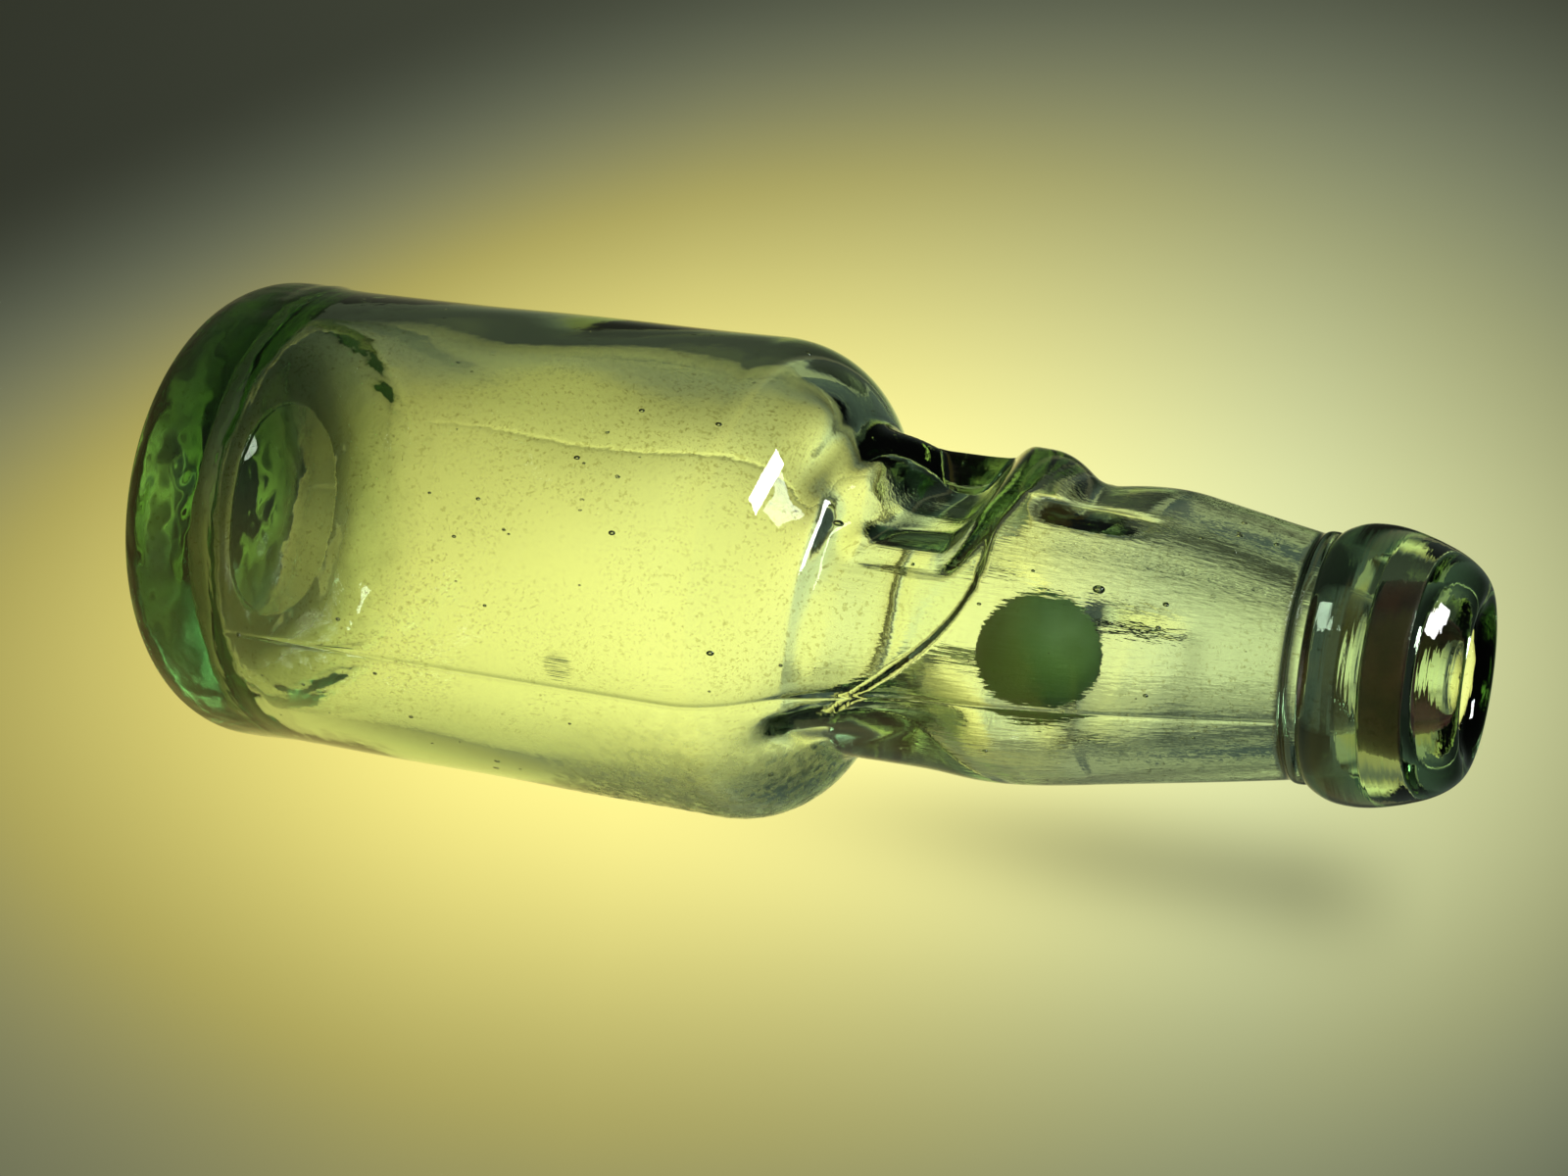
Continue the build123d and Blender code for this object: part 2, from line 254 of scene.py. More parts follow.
def outer_profile():
    """From the middle of the foot up the outside to the lip's foot."""
    heel_axis = BODY_RADIUS_LOW - HEEL_RADIUS
    return np.concatenate([
        bend([(0, PUSH_UP), (FOOT_RADIUS, 0)], [(1, 0), (1, -PUSH_UP / FOOT_RADIUS)], 14),
        line((FOOT_RADIUS, 0), (heel_axis, 0), 6),
        arc((heel_axis, HEEL_RADIUS), HEEL_RADIUS, -pi / 2, 0, 24),
        outer_side(),
    ])


def lip_profile():
    """Over the lip and down inside it to the neck's bore."""
    foot_radius = NECK_RADIUS_HIGH + LIP_OVERHANG
    bead = (foot_radius + LIP_BEAD, lip_foot + LIP_BEAD_HEIGHT)
    upper_line = (foot_radius + LIP_LINE_STEP, lip_foot + LIP_LINE_HEIGHT)
    start = (LIP_START_RADIUS, lip_foot + LIP_START_HEIGHT)
    belly = (LIP_RADIUS, lip_foot + LIP_BELLY_HEIGHT)
    arris = (LIP_ARRIS_RADIUS, lip_top - LIP_ARRIS_DROP)
    shoulder = (LIP_SHOULDER_RADIUS, lip_top - LIP_SHOULDER_DROP)
    crown = lip_top - mouth_round
    return np.concatenate([
        bend([(foot_radius, lip_foot), bead, upper_line], [(1, 0.3), (0, 1), (-0.5, 1)], 6),
        bend([upper_line, start, belly, arris], [(1, 0.8), (0.4, 1), (0, 1), (-0.32, 1)], 14),
        bend([arris, shoulder, (LIP_CROWN_RADIUS, lip_top)],
             [(-0.38, 1), (-0.45, 1), (-1, 0)], 14),
        arc((LIP_CROWN_RADIUS, crown), mouth_round, pi / 2, pi, 12),
        rounded([(MOUTH_RADIUS, crown), (MOUTH_RADIUS, groove_top), (GROOVE_RADIUS, groove_top),
                 (GROOVE_RADIUS, groove_floor), (LEDGE_RADIUS, groove_floor),
                 (LEDGE_RADIUS, groove_floor - LEDGE_HEIGHT), (neck_bore, lip_foot)],
                CORNER_ROUND),
    ])


def inner_profile():
    """From the middle of the inner floor up the inside to the lip's foot."""
    inner_low = BODY_RADIUS_LOW - BODY_WALL
    heel_axis = inner_low - INNER_HEEL_RADIUS
    floor_edge = PUSH_UP + BASE_THICKNESS - FLOOR_RISE
    heel_top = floor_edge + INNER_HEEL_RADIUS
    return np.concatenate([
        bend([(0, floor_edge + FLOOR_RISE), (heel_axis, floor_edge)], [(1, 0), (1, 0)], 16),
        arc((heel_axis, heel_top), INNER_HEEL_RADIUS, -pi / 2, 0, 20),
        side_profile(heel_top, inner_low, BODY_RADIUS_HIGH - BODY_WALL,
                     SHOULDER_RADIUS - BODY_WALL, WAIST_RADIUS - BODY_WALL,
                     WAIST_FILLET + BODY_WALL, CHAMBER_RADIUS - NECK_WALL,
                     NECK_RADIUS_LOW - NECK_WALL, neck_bore),
    ])


# ==== dents
FAR = 200.0                  # stands for no surface in that direction


def smooth_min(a, b, width):
    """The smaller of two distances, rounded where they meet."""
    mix = np.clip(0.5 + 0.5 * (b - a) / width, 0, 1)
    return b * (1 - mix) + a * mix - width * mix * (1 - mix)


def smooth_max(a, b, width):
    return -smooth_min(-a, -b, width)


def ramp(value, start, end):
    """Smooth rise from 0 at start to 1 at end."""
    share = np.clip((value - start) / (end - start), 0, 1)
    return share ** 2 * (3 - 2 * share)


def stretch(value, start, full, kept, end):
    """1 from full to kept, with a smooth rise from start and fall to end."""
    return ramp(value, start, full) * ramp(value, end, kept)


def turned(angle, middle):
    """Angle from the middle of a dent, between -pi and pi."""
    return (angle - middle + pi) % (2 * pi) - pi


def end_wall(turn, half_angle, lean, radius, growth):
    """Distance from the axis to the end walls of a dent that meet the round outside at radius."""
    start = radius * sin(radians(lean)) - growth
    slope = radians(lean) - (np.abs(turn) - radians(half_angle))
    return np.where(slope > LEAST_SLOPE, start / np.sin(np.clip(slope, LEAST_SLOPE, pi / 2)), FAR)


def groove_section(rise, reach, radius, flare):
    """Distance of a pinch's face from the axis in its middle plane: a round floor, flared sides."""
    edge = radius * np.cos(np.radians(flare))
    depth = np.sqrt(np.maximum(radius ** 2 - np.minimum(rise, edge) ** 2, 0))
    floor = reach + PINCH_FLOOR_RADIUS - depth
    return floor + np.maximum(rise - edge, 0) / np.tan(np.radians(flare))


def pinch(angle, height, middle, level, reach, half_angle, near_half_angle, near_lean):
    """Distance from the axis to a pinch's outer face."""
    turn = turned(angle, middle)
    across = groove_section(np.abs(height - level), reach, PINCH_FLOOR_RADIUS, PINCH_FLARE)
    groove = across / np.cos(np.clip(turn, -FLAT_TURN, FLAT_TURN))
    far_wall = end_wall(np.minimum(turn, 0), half_angle, PINCH_END_LEAN, WAIST_RADIUS, 0)
    near_wall = end_wall(np.maximum(turn, 0), near_half_angle, near_lean, WAIST_RADIUS, 0)
    return smooth_max(smooth_max(groove, far_wall, PINCH_END_ROUND), near_wall, PINCH_END_ROUND)


def ledge(angle, height, middle, level, reach):
    """Distance from the axis to the inner face of a pinch, which runs from seam to seam."""
    turn = np.abs(turned(angle, middle))
    drop = INNER_DROP * np.maximum(np.cos(angle), 0) ** 2
    rise = height - level + drop
    radius = PINCH_FLOOR_RADIUS + PINCH_WALL
    across = np.where(rise > 0, groove_section(np.abs(rise), reach, radius, INNER_FLARE),
                      groove_section(np.abs(rise), reach, radius, SHOULDER_FLARE))
    return across / np.cos(np.minimum(turn, LEDGE_TURN) * INNER_SPREAD)


def lug(angle, height, middle, growth, lean, round_size):
    """Distance from the axis to a lug's surface."""
    turn = turned(angle, middle)
    floor = LUG_REACH - growth
    lower = floor + (lug_height - height) * tan(radians(LUG_LOWER_SLOPE))
    upper = floor + (height - lug_height - LUG_FLAT) * tan(radians(LUG_UPPER_SLOPE))
    sides = smooth_max(smooth_max(lower, upper, LUG_ROUND), floor + 0 * height, LUG_ROUND)
    wall = end_wall(turn, LUG_HALF_ANGLE, lean, NECK_RADIUS_LOW, growth)
    return smooth_max(sides, wall, round_size)


def filled(radius, angle, height):
    """Radius of the outside with the corner between shoulder and waist filled beside the near seam."""
    off = np.degrees(turned(angle, 0))
    off = np.where(off < 0, off / FILL_FRONT, off / FILL_BACK)
    fill = FILL_RADIUS - FILL_SLOPE * (height - waist_start)
    fill = fill - FILL_DEPTH * np.minimum(off ** 2, FILL_FALL_LIMIT)
    above_shoulder = ramp(height, *(BODY_HEIGHT + rise for rise in FILL_RISE))
    return radius + (smooth_max(radius, fill, FILL_ROUND) - radius) * above_shoulder


def dented(radius, angle, height):
    """Radius of the outside, pressed in by all the dents."""
    radius = filled(radius, angle, height)
    for surface in (
        pinch(angle, height, -pi / 2, front_pinch_height, FRONT_PINCH_REACH,
              FRONT_PINCH_HALF_ANGLE, NEAR_HALF_ANGLE, NEAR_LEAN),
        pinch(angle, height, pi / 2, back_pinch_height, BACK_PINCH_REACH,
              BACK_PINCH_HALF_ANGLE, BACK_PINCH_HALF_ANGLE, PINCH_END_LEAN),
        lug(angle, height, pi + radians(LUG_ANGLE), 0, LUG_END_LEAN, LUG_ROUND),
        lug(angle, height, pi - radians(LUG_ANGLE), 0, BACK_LUG_LEAN, BACK_LUG_ROUND),
    ):
        radius = smooth_min(radius, surface, DENT_EDGE_ROUND)
    return radius


def thin_behind(radius, angle, height, outside):
    """Radius of the inside, with no more than the body's wall in a stretch of the back's ledge."""
    thin = stretch(turned(angle, pi / 2), *np.radians(THIN_ARC))
    thin = thin * ramp(height, *WALLED_HEIGHTS) * ramp(height, neck_start, chamber_height)
    return smooth_max(radius, outside - BODY_WALL - THICK_WALL * (1 - thin), LEDGE_ROUND)


def even_in_front(radius, angle, height, outside):
    """Radius of the inside, with an even wall up to the crease in front, beside the seam on +X."""
    turn = turned(angle, -pi / 2)
    fall = np.clip((np.degrees(turn) - CREASE_TURN) / CREASE_LENGTH, 0, 2)
    over_crease = height - CREASE_HEIGHT + CREASE_DROP * fall ** CREASE_POWER
    below_crease = ramp(over_crease, CREASE_ROUND, -CREASE_ROUND)
    wall = BODY_WALL + (EVEN_WALL - BODY_WALL) * ramp(height, *EVEN_HEIGHTS)
    even = outside - wall * below_crease - NECK_WALL * (1 - below_crease)
    kept, end = np.radians(EVEN_END)
    front = ramp(turn, 0, radians(EVEN_TURN)) * ramp(turned(angle, 0), end, kept)
    front = front * ramp(height, *WALLED_HEIGHTS) * ramp(height, neck_start, chamber_height + 1)
    return radius * (1 - front) + even * front


def ledged(radius, angle, height):
    """Radius of the inside, with the inner faces of all the dents."""
    for surface, round_size in (
        (ledge(angle, height, -pi / 2, front_pinch_height, FRONT_PINCH_REACH), LEDGE_ROUND),
        (ledge(angle, height, pi / 2, back_pinch_height, BACK_PINCH_REACH), LEDGE_ROUND),
        (lug(angle, height, pi + radians(LUG_ANGLE), PINCH_WALL, LUG_END_LEAN,
             LUG_ROUND + PINCH_WALL), INNER_ROUND),
        (lug(angle, height, pi - radians(LUG_ANGLE), PINCH_WALL, BACK_LUG_LEAN,
             BACK_LUG_ROUND), INNER_ROUND),
    ):
        radius = smooth_min(radius, surface, round_size)
    outside = outer_side()
    outside = dented(np.interp(height, outside[:, 1], outside[:, 0]), angle, height)
    radius = thin_behind(radius, angle, height, outside)
    return even_in_front(radius, angle, height, outside)


# ==== seams, ripples and the glass mesh
SEAM_SIZE = 0.09
HEEL_SEAM_SIZE = 0.2
SEAM_WIDTH = 0.30
SEAM_CUSP = 0.26             # the two halves of the mould meet in a blunt edge
SEAM_CUSP_WIDTH = 3.0
SEAM_CUSP_HOLLOW = 0.2       # share of it by which the glass lies lower elsewhere
SEAM_CUSP_START = 24.0       # height
SEAM_CUSP_RISE = 12.0        # from there up to its full size
SEAM_CUSP_FADE = 10.0        # below the lip's foot
SEAM_ROOM = 0.36             # the body is this much slimmer, so that the seams stay within its size
SEAM_ROOM_RISE = 10.0        # stretch above the heel in which it gets so
HEEL_SEAM_HEIGHT = 17.32
HEEL_SEAM_TILT = 0.0905      # rise across the bottle, towards the next angle
HEEL_SEAM_TILT_ANGLE = 73.0
ANGLE_STEPS = 300
SEAM_COLUMNS = (0.2, 0.4, 0.66, 1.0, 1.5)   # to each side of a mould seam, for extra columns
COLUMN_ROOM = 0.35           # least degrees between an even column and an extra one

# Ripples: size, number of waves and longest wave.
OUTER_RIPPLE = (0.05, 10, 60)
INNER_RIPPLE = (0.07, 14, 70)
FLOOR_RIPPLE = (0.25, 8, 50)
SHORTEST_WAVE = 0.35         # as a share of the longest
MOST_WAVES_ROUND = 5
FLOOR_CALM, FLOOR_CALM_EDGE = 6.0, 12.0   # radius without ripples, and width of its edge
FLOOR_TOP = 22.0             # up to here the inside counts as its floor

# Bubbles in the wall: angle, height and radius of the ones that stand out, then the others.
NAMED_SEEDS = ((304, 93.9, 0.42), (313.6, 127.1, 0.5), (322, 70.2, 0.3), (347, 83.6, 0.32))
NAMED_SEED_DEPTH = 1.4       # under the outer face
SEED_COUNT = 200
SEED_SIZE = 0.3
SEED_SHARES = (0.4, 1.0)     # root of a seed's share of that size
SEED_HEIGHTS = (12, 146)
SEED_DEPTHS = (0.7, 2.4)
SEED_STRETCH = 1.5           # along the bottle
DEGREE_LENGTH = 0.4          # of one degree round the bottle, roughly

MARBLE_INSET = 0.01          # of the ground skin in the CAD marble
PIT_COUNT = 60
PIT_WIDTHS = (0.25, 0.6)
PIT_DEPTHS = (0.02, 0.06)
RING_INNER_RADIUS = 6.9
RING_EDGE_ROUND = 0.8
RING_STEPS = 160
RING_FACE_DEPTH = 0.4        # how far in from the bore its wear and its mould line reach
RING_WEAR = 0.08
RING_WEAR_WAVES = (2, 3, 5, 9, 14)
RING_LINE, RING_LINE_WIDTH = 0.12, 0.25


def seam(distance, size):
    """Height of a mould seam's line at a distance from its middle."""
    return size * np.exp(-(distance / SEAM_WIDTH) ** 2)


def seam_angles():
    """Extra columns at and beside the two mould seams, in degrees."""
    beside = np.array([-place for place in reversed(SEAM_COLUMNS)] + [0, *SEAM_COLUMNS])
    beside = np.degrees(beside / BODY_RADIUS_LOW)
    return np.concatenate([beside, 180 + beside])


def column_angles():
    """Angles of the glass mesh's columns: even ones, and those at the seams."""
    even = np.arange(ANGLE_STEPS) * 360.0 / ANGLE_STEPS
    extra = seam_angles() % 360
    clear = np.min(np.abs((even[:, None] - extra[None] + 180) % 360 - 180), axis=1) > COLUMN_ROOM
    return np.radians(np.sort(np.concatenate([even[clear], extra])))


def ripple(rng, angle, height, size, waves, longest):
    """Gentle unevenness of hand-blown glass, as a sum of waves round and along the bottle."""
    total = 0
    for _ in range(waves):
        round_count = rng.integers(0, MOST_WAVES_ROUND + 1)
        length = longest * rng.uniform(SHORTEST_WAVE, 1)
        phase = rng.uniform(0, 2 * pi)
        wave = np.sin(round_count * angle + 2 * pi * height / length + phase)
        total = total + wave * rng.choice((-1, 1))
    return size * total / sqrt(waves)


def outer_radius(radius, angle, height, rng):
    """Radius of the outside with its dents, seams and ripples."""
    on_body = ramp(height, HEEL_RADIUS, HEEL_RADIUS + SEAM_ROOM_RISE)
    on_body = on_body * ramp(height, waist_start, BODY_HEIGHT)
    r = dented(radius, angle, height) - SEAM_ROOM * on_body
    on_side = (height > HEEL_RADIUS) & (height < lip_foot)
    beside = radius * np.abs(np.sin(angle))
    cusp = SEAM_CUSP * (np.exp(-beside / SEAM_CUSP_WIDTH) - SEAM_CUSP_HOLLOW)
    cusp = cusp * np.clip((height - SEAM_CUSP_START) / SEAM_CUSP_RISE, 0, 1)
    cusp = cusp * np.clip((lip_foot - height) / SEAM_CUSP_FADE, 0, 1)
    side_seam = (seam(beside, SEAM_SIZE) + cusp) * (height > HEEL_SEAM_HEIGHT)
    tilt = HEEL_SEAM_TILT * radius * np.cos(angle - radians(HEEL_SEAM_TILT_ANGLE))
    heel_seam = seam(height - HEEL_SEAM_HEIGHT - tilt, HEEL_SEAM_SIZE)
    r = r + np.maximum(side_seam, heel_seam) * on_side
    return r + ripple(rng, angle, height, *OUTER_RIPPLE) * on_side


def faces_between_poles(rows, columns):
    """Faces over rows of points that close round, with the first and the last point as poles."""
    index = 1 + np.arange(rows * columns).reshape(rows, columns)
    around = np.roll(index, -1, axis=1)
    last = rows * columns + 1
    fans = [(0, b, a) for a, b in zip(index[0].tolist(), around[0].tolist())]
    fans += [(last, a, b) for a, b in zip(index[-1].tolist(), around[-1].tolist())]
    quads = np.stack([index[:-1], around[:-1], around[1:], index[1:]], 2).reshape(-1, 4)
    return fans + [tuple(quad) for quad in quads.tolist()]


def glass_mesh():
    """Points and faces of the glass: up the outside, over the lip and down the inside."""
    rng = np.random.default_rng(11)
    outer = outer_profile()
    lip = lip_profile()
    inner = inner_profile()[::-1]
    angle = column_angles()

    def ring(profile):
        return np.broadcast_arrays(profile[:, :1], angle[None, :], profile[:, 1:])

    radius, turn, outer_z = ring(outer)
    outer_r = np.where(outer_z > HEEL_RADIUS, outer_radius(radius, turn, outer_z, rng), radius)
    lip_r, _, lip_z = ring(lip)
    radius, turn, height = ring(inner)
    rippled = np.clip((radius - FLOOR_CALM) / FLOOR_CALM_EDGE, 0, 1)
    inner_r = ledged(radius, turn, height)
    inner_r = inner_r + ripple(rng, turn, height, *INNER_RIPPLE) * rippled * (height < neck_start)
    floor_ripple = ripple(rng, turn, radius * 2, *FLOOR_RIPPLE)
    inner_z = height + floor_ripple * (height < FLOOR_TOP) * rippled
    r = np.concatenate([outer_r, lip_r, inner_r])
    z = np.concatenate([outer_z, lip_z, inner_z])
    rows, columns = r.shape
    points = np.stack([r * np.cos(angle), r * np.sin(angle), z], 2)
    # The first and the last row are the poles.
    flat = np.concatenate([points[:1, 0], points[1:-1].reshape(-1, 3), points[-1:, 0]])
    flat[0, :2] = flat[-1, :2] = 0
    sides = (outer_z > HEEL_RADIUS / 2) & (outer_z < lip_foot - 2)
    return add_seeds(flat, faces_between_poles(rows - 2, columns), points[:len(outer)][sides], rng)


def ball(columns, rows):
    """Unit sphere as rows of points between two poles, with its faces turned outwards."""
    lift = np.linspace(-pi / 2, pi / 2, rows + 1)[1:-1]
    turn = np.arange(columns) * 2 * pi / columns
    lift, turn = np.meshgrid(lift, turn, indexing="ij")
    side = np.stack([np.cos(lift) * np.cos(turn), np.cos(lift) * np.sin(turn), np.sin(lift)], 2)
    points = np.concatenate([[[0, 0, -1]], side.reshape(-1, 3), [[0, 0, 1]]])
    return points, faces_between_poles(rows - 1, columns)


def add_seeds(points, faces, surface, rng):
    """Little bubbles in the wall: balls turned inside out, a little under the outer face."""
    unit, unit_faces = ball(10, 8)
    places = [(angle, height, NAMED_SEED_DEPTH, size) for angle, height, size in NAMED_SEEDS]
    places += [(rng.uniform(0, 360), rng.uniform(*SEED_HEIGHTS), rng.uniform(*SEED_DEPTHS),
                SEED_SIZE * rng.uniform(*SEED_SHARES) ** 2) for _ in range(SEED_COUNT)]
    turns = np.degrees(np.arctan2(surface[:, 1], surface[:, 0]))
    groups, count = [points], len(points)
    for angle, height, depth, size in places:
        off = ((turns - angle + 180) % 360 - 180) * DEGREE_LENGTH
        outside = surface[np.argmin(off ** 2 + (surface[:, 2] - height) ** 2)]
        inward = np.array([outside[0], outside[1], 0]) / hypot(outside[0], outside[1])
        groups.append(outside - inward * depth + unit * np.array([size, size, size * SEED_STRETCH]))
        faces += [tuple(count + k for k in reversed(face)) for face in unit_faces]
        count += len(unit)
    return np.concatenate(groups), faces


def marble_mesh():
    """Ground glass ball with shallow pits, inside the CAD marble."""
    rng = np.random.default_rng(5)
    low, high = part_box("marble")
    centre = np.array((low + high) / 2) / MM
    radius = (high.z - low.z) / 2 / MM
    points, faces = ball(160, 100)
    depth = np.zeros(len(points))
    for _ in range(PIT_COUNT):
        middle = rng.normal(size=3)
        middle /= np.linalg.norm(middle)
        away = np.linalg.norm(points - middle, axis=1) * radius / rng.uniform(*PIT_WIDTHS)
        depth = np.maximum(depth, rng.uniform(*PIT_DEPTHS) * np.exp(-away ** 2))
    return centre + points * (radius - MARBLE_INSET - depth)[:, None], faces


def ring_mesh():
    """Rubber ring: a rounded band, worn unevenly inside, with the line where its mould met."""
    rng = np.random.default_rng(7)
    low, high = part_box("sealing_ring")
    outside, bottom, top = high.x / MM, low.z / MM, high.z / MM
    middle = (bottom + top) / 2
    corner, inside = RING_EDGE_ROUND, RING_INNER_RADIUS
    profile = np.concatenate([
        arc((outside - corner, bottom + corner), corner, -pi / 2, 0, 8),
        arc((outside - corner, top - corner), corner, 0, pi / 2, 8),
        arc((inside + corner, top - corner), corner, pi / 2, pi, 8),
        line((inside, top - corner), (inside, middle), 6),
        line((inside, middle), (inside, bottom + corner), 6),
        arc((inside + corner, bottom + corner), corner, pi, 3 * pi / 2, 8),
    ])
    near_bore = np.exp(-((profile[:, 0] - inside) / RING_FACE_DEPTH) ** 2)
    mould_line = RING_LINE * near_bore * np.exp(-((profile[:, 1] - middle) / RING_LINE_WIDTH) ** 2)
    turn = np.arange(RING_STEPS) * 2 * pi / RING_STEPS
    wear = sum(np.sin(turn * k + rng.uniform(0, 2 * pi)) for k in RING_WEAR_WAVES) / len(RING_WEAR_WAVES)
    radius = profile[:, :1] + RING_WEAR * near_bore[:, None] * (1 + wear[None, :]) + mould_line[:, None]
    height = np.repeat(profile[:, 1:], RING_STEPS, axis=1)
    points = np.stack([radius * np.cos(turn), radius * np.sin(turn), height], 2).reshape(-1, 3)
    index = np.arange(len(points)).reshape(len(profile), RING_STEPS)
    up, around = np.roll(index, -1, axis=0), np.roll(index, -1, axis=1)
    quads = np.stack([index, around, np.roll(up, -1, axis=1), up], 2).reshape(-1, 4)
    return points, [tuple(quad) for quad in quads.tolist()]


def make_piece(name, points, faces):
    """Smooth mesh object from points in millimetres."""
    mesh = bpy.data.meshes.new(name)
    mesh.from_pydata((np.asarray(points) * MM).tolist(), [], faces)
    mesh.update()
    mesh.shade_smooth()
    piece = bpy.data.objects.new(name, mesh)
    bpy.context.scene.collection.objects.link(piece)
    return piece


# ==== shader helpers
def add(tree, kind, inputs=None, **settings):
    """New node of a tree; an input is a value or another node's output."""
    node = tree.nodes.new(kind)
    for name, value in settings.items():
        setattr(node, name, value)
    for name, value in (inputs or {}).items():
        if isinstance(value, bpy.types.NodeSocket):
            tree.links.new(value, node.inputs[name])
        else:
            node.inputs[name].default_value = value
    return node


def new_material(name):
    """Material with an empty node tree."""
    material = bpy.data.materials.new(name)
    material.use_nodes = True
    tree = material.node_tree
    tree.nodes.clear()
    return material, tree


def finish_material(tree, surface, volume=None):
    """Links the surface, and a volume if there is one, to the material's output."""
    out = add(tree, "ShaderNodeOutputMaterial")
    tree.links.new(surface.outputs[0], out.inputs["Surface"])
    if volume is not None:
        tree.links.new(volume.outputs[0], out.inputs["Volume"])


def calc(tree, operation, *values):
    """Result of a math node."""
    node = add(tree, "ShaderNodeMath", operation=operation)
    for k, value in enumerate(values):
        if isinstance(value, bpy.types.NodeSocket):
            tree.links.new(value, node.inputs[k])
        else:
            node.inputs[k].default_value = value
    return node.outputs[0]


def smooth_step(tree, value, start, end, low=0.0, high=1.0):
    """From low at start to high at end, level beyond them."""
    node = add(tree, "ShaderNodeMapRange", {"Value": value, "From Min": start, "From Max": end,
                                            "To Min": low, "To Max": high},
               interpolation_type="SMOOTHSTEP")
    return node.outputs[0]


def noise(tree, place, scale, detail=2.0):
    """Cloudy pattern; the scale is per metre."""
    node = add(tree, "ShaderNodeTexNoise", {"Vector": place, "Scale": scale, "Detail": detail})
    return node.outputs[0]


def stretched(tree, place, scale):
    """Place with its axes scaled, for a pattern that is drawn out."""
    return add(tree, "ShaderNodeMapping", {"Vector": place, "Scale": scale}).outputs[0]


def bump(tree, height, strength, distance, below=None):
    """Normal of a bumped surface, on top of the bumps below."""
    inputs = {"Height": height, "Strength": strength, "Distance": distance}
    if below is not None:
        inputs["Normal"] = below
    return add(tree, "ShaderNodeBump", inputs).outputs[0]


def spot(tree, place, middle, inner, outer):
    """1 within the inner radius of a spot and 0 beyond the outer one."""
    away = add(tree, "ShaderNodeVectorMath", {0: place, 1: middle}, operation="DISTANCE")
    return smooth_step(tree, away.outputs["Value"], inner, outer, 1.0, 0.0)


def mixed(tree, share, first, second):
    """Colour between two others."""
    return add(tree, "ShaderNodeMix", {0: share, 6: first, 7: second}, data_type="RGBA").outputs[2]


# ==== materials
# Heights, radii and bump depths are metres, pattern scales are per metre. A pair of heights says
# where a zone starts and where it is complete, a pair of levels what a pattern blends between.
GLASS_IOR = 1.52
GLASS_ABSORPTION = 62.0      # per metre, for a colour of 0
GLASS_TINT = (0.37, 0.68, 0.34, 1)
GLASS_ROUGHNESS = 0.012
CLEAN_GLASS = (0.98, 0.99, 0.97, 1)
FINE_SCALE, FINE_DETAIL, FINE_STRENGTH, FINE_DEPTH = 420.0, 3.0, 0.05, 0.0002
DRAWN_HEIGHTS = (0.085, 0.105)   # of the lines that run along the neck
DRAWN_SCALE = 2200.0
DRAWN_STRETCH = 0.06
DRAWN_STRENGTH, DRAWN_DEPTH = 0.12, 0.0003
TOOLED_HEIGHTS = (0.1490, 0.1500)   # of the tooling lines round the lip
TOOLED_SCALE = 1300.0
TOOLED_STRETCH = 0.05
TOOLED_STRENGTH, TOOLED_DEPTH = 0.12, 0.0003
HEEL_HEIGHTS = (0.012, 0.020)    # where the mottled heel ends
HEEL_SCALE, HEEL_STRENGTH, HEEL_DEPTH = 110.0, 0.35, 0.003
FOOT_HEIGHTS, FOOT_ROUGHNESS = (0.0005, 0.003), 0.45
WORN_PLACE = (0.0177, 0.0225, 0.080)   # on the shoulder, where the bottle has lain
WORN_RADII = (0.014, 0.03)
WORN_SCALE, WORN_DETAIL, WORN_LEVELS, WORN_ROUGHNESS = 700.0, 4.0, (0.42, 0.62), (0.05, 0.32)
SCUFF_PLACE = (0.0302, -0.0030, 0.0646)
SCUFF_RADII, SCUFF_DEPTH = (0.0014, 0.0024), 0.0006
DUST = (0.56, 0.53, 0.40, 1)
DUST_SCALE, DUST_DETAIL, DUST_LEVELS = 1500.0, 3.0, (0.60, 0.66)
DUST_PATCH_SCALE, DUST_PATCH_LEVELS = 60.0, (0.35, 0.65)

MARBLE_TINTS = (0.17, 0.34, 0.07, 1), (0.22, 0.42, 0.11, 1)
MARBLE_CLOUD_SCALE, MARBLE_CLOUD_DETAIL, MARBLE_CLOUD_LEVELS = 160.0, 3.0, (0.35, 0.65)
MARBLE_GRAIN_SCALE, MARBLE_GRAIN_STRENGTH, MARBLE_GRAIN_DEPTH = 2600.0, 0.3, 0.0001
MARBLE_ROUGHNESS, MARBLE_IOR, MARBLE_CLEARNESS = 0.6, 1.5, 0.55

RUBBER_TINTS = (0.020, 0.006, 0.005, 1), (0.060, 0.016, 0.012, 1)
RUBBER_SCALE, RUBBER_DETAIL, RUBBER_LEVELS = 300.0, 4.0, (0.35, 0.7)
RUBBER_STRENGTH, RUBBER_DEPTH, RUBBER_ROUGHNESS = 0.4, 0.0002, 0.62


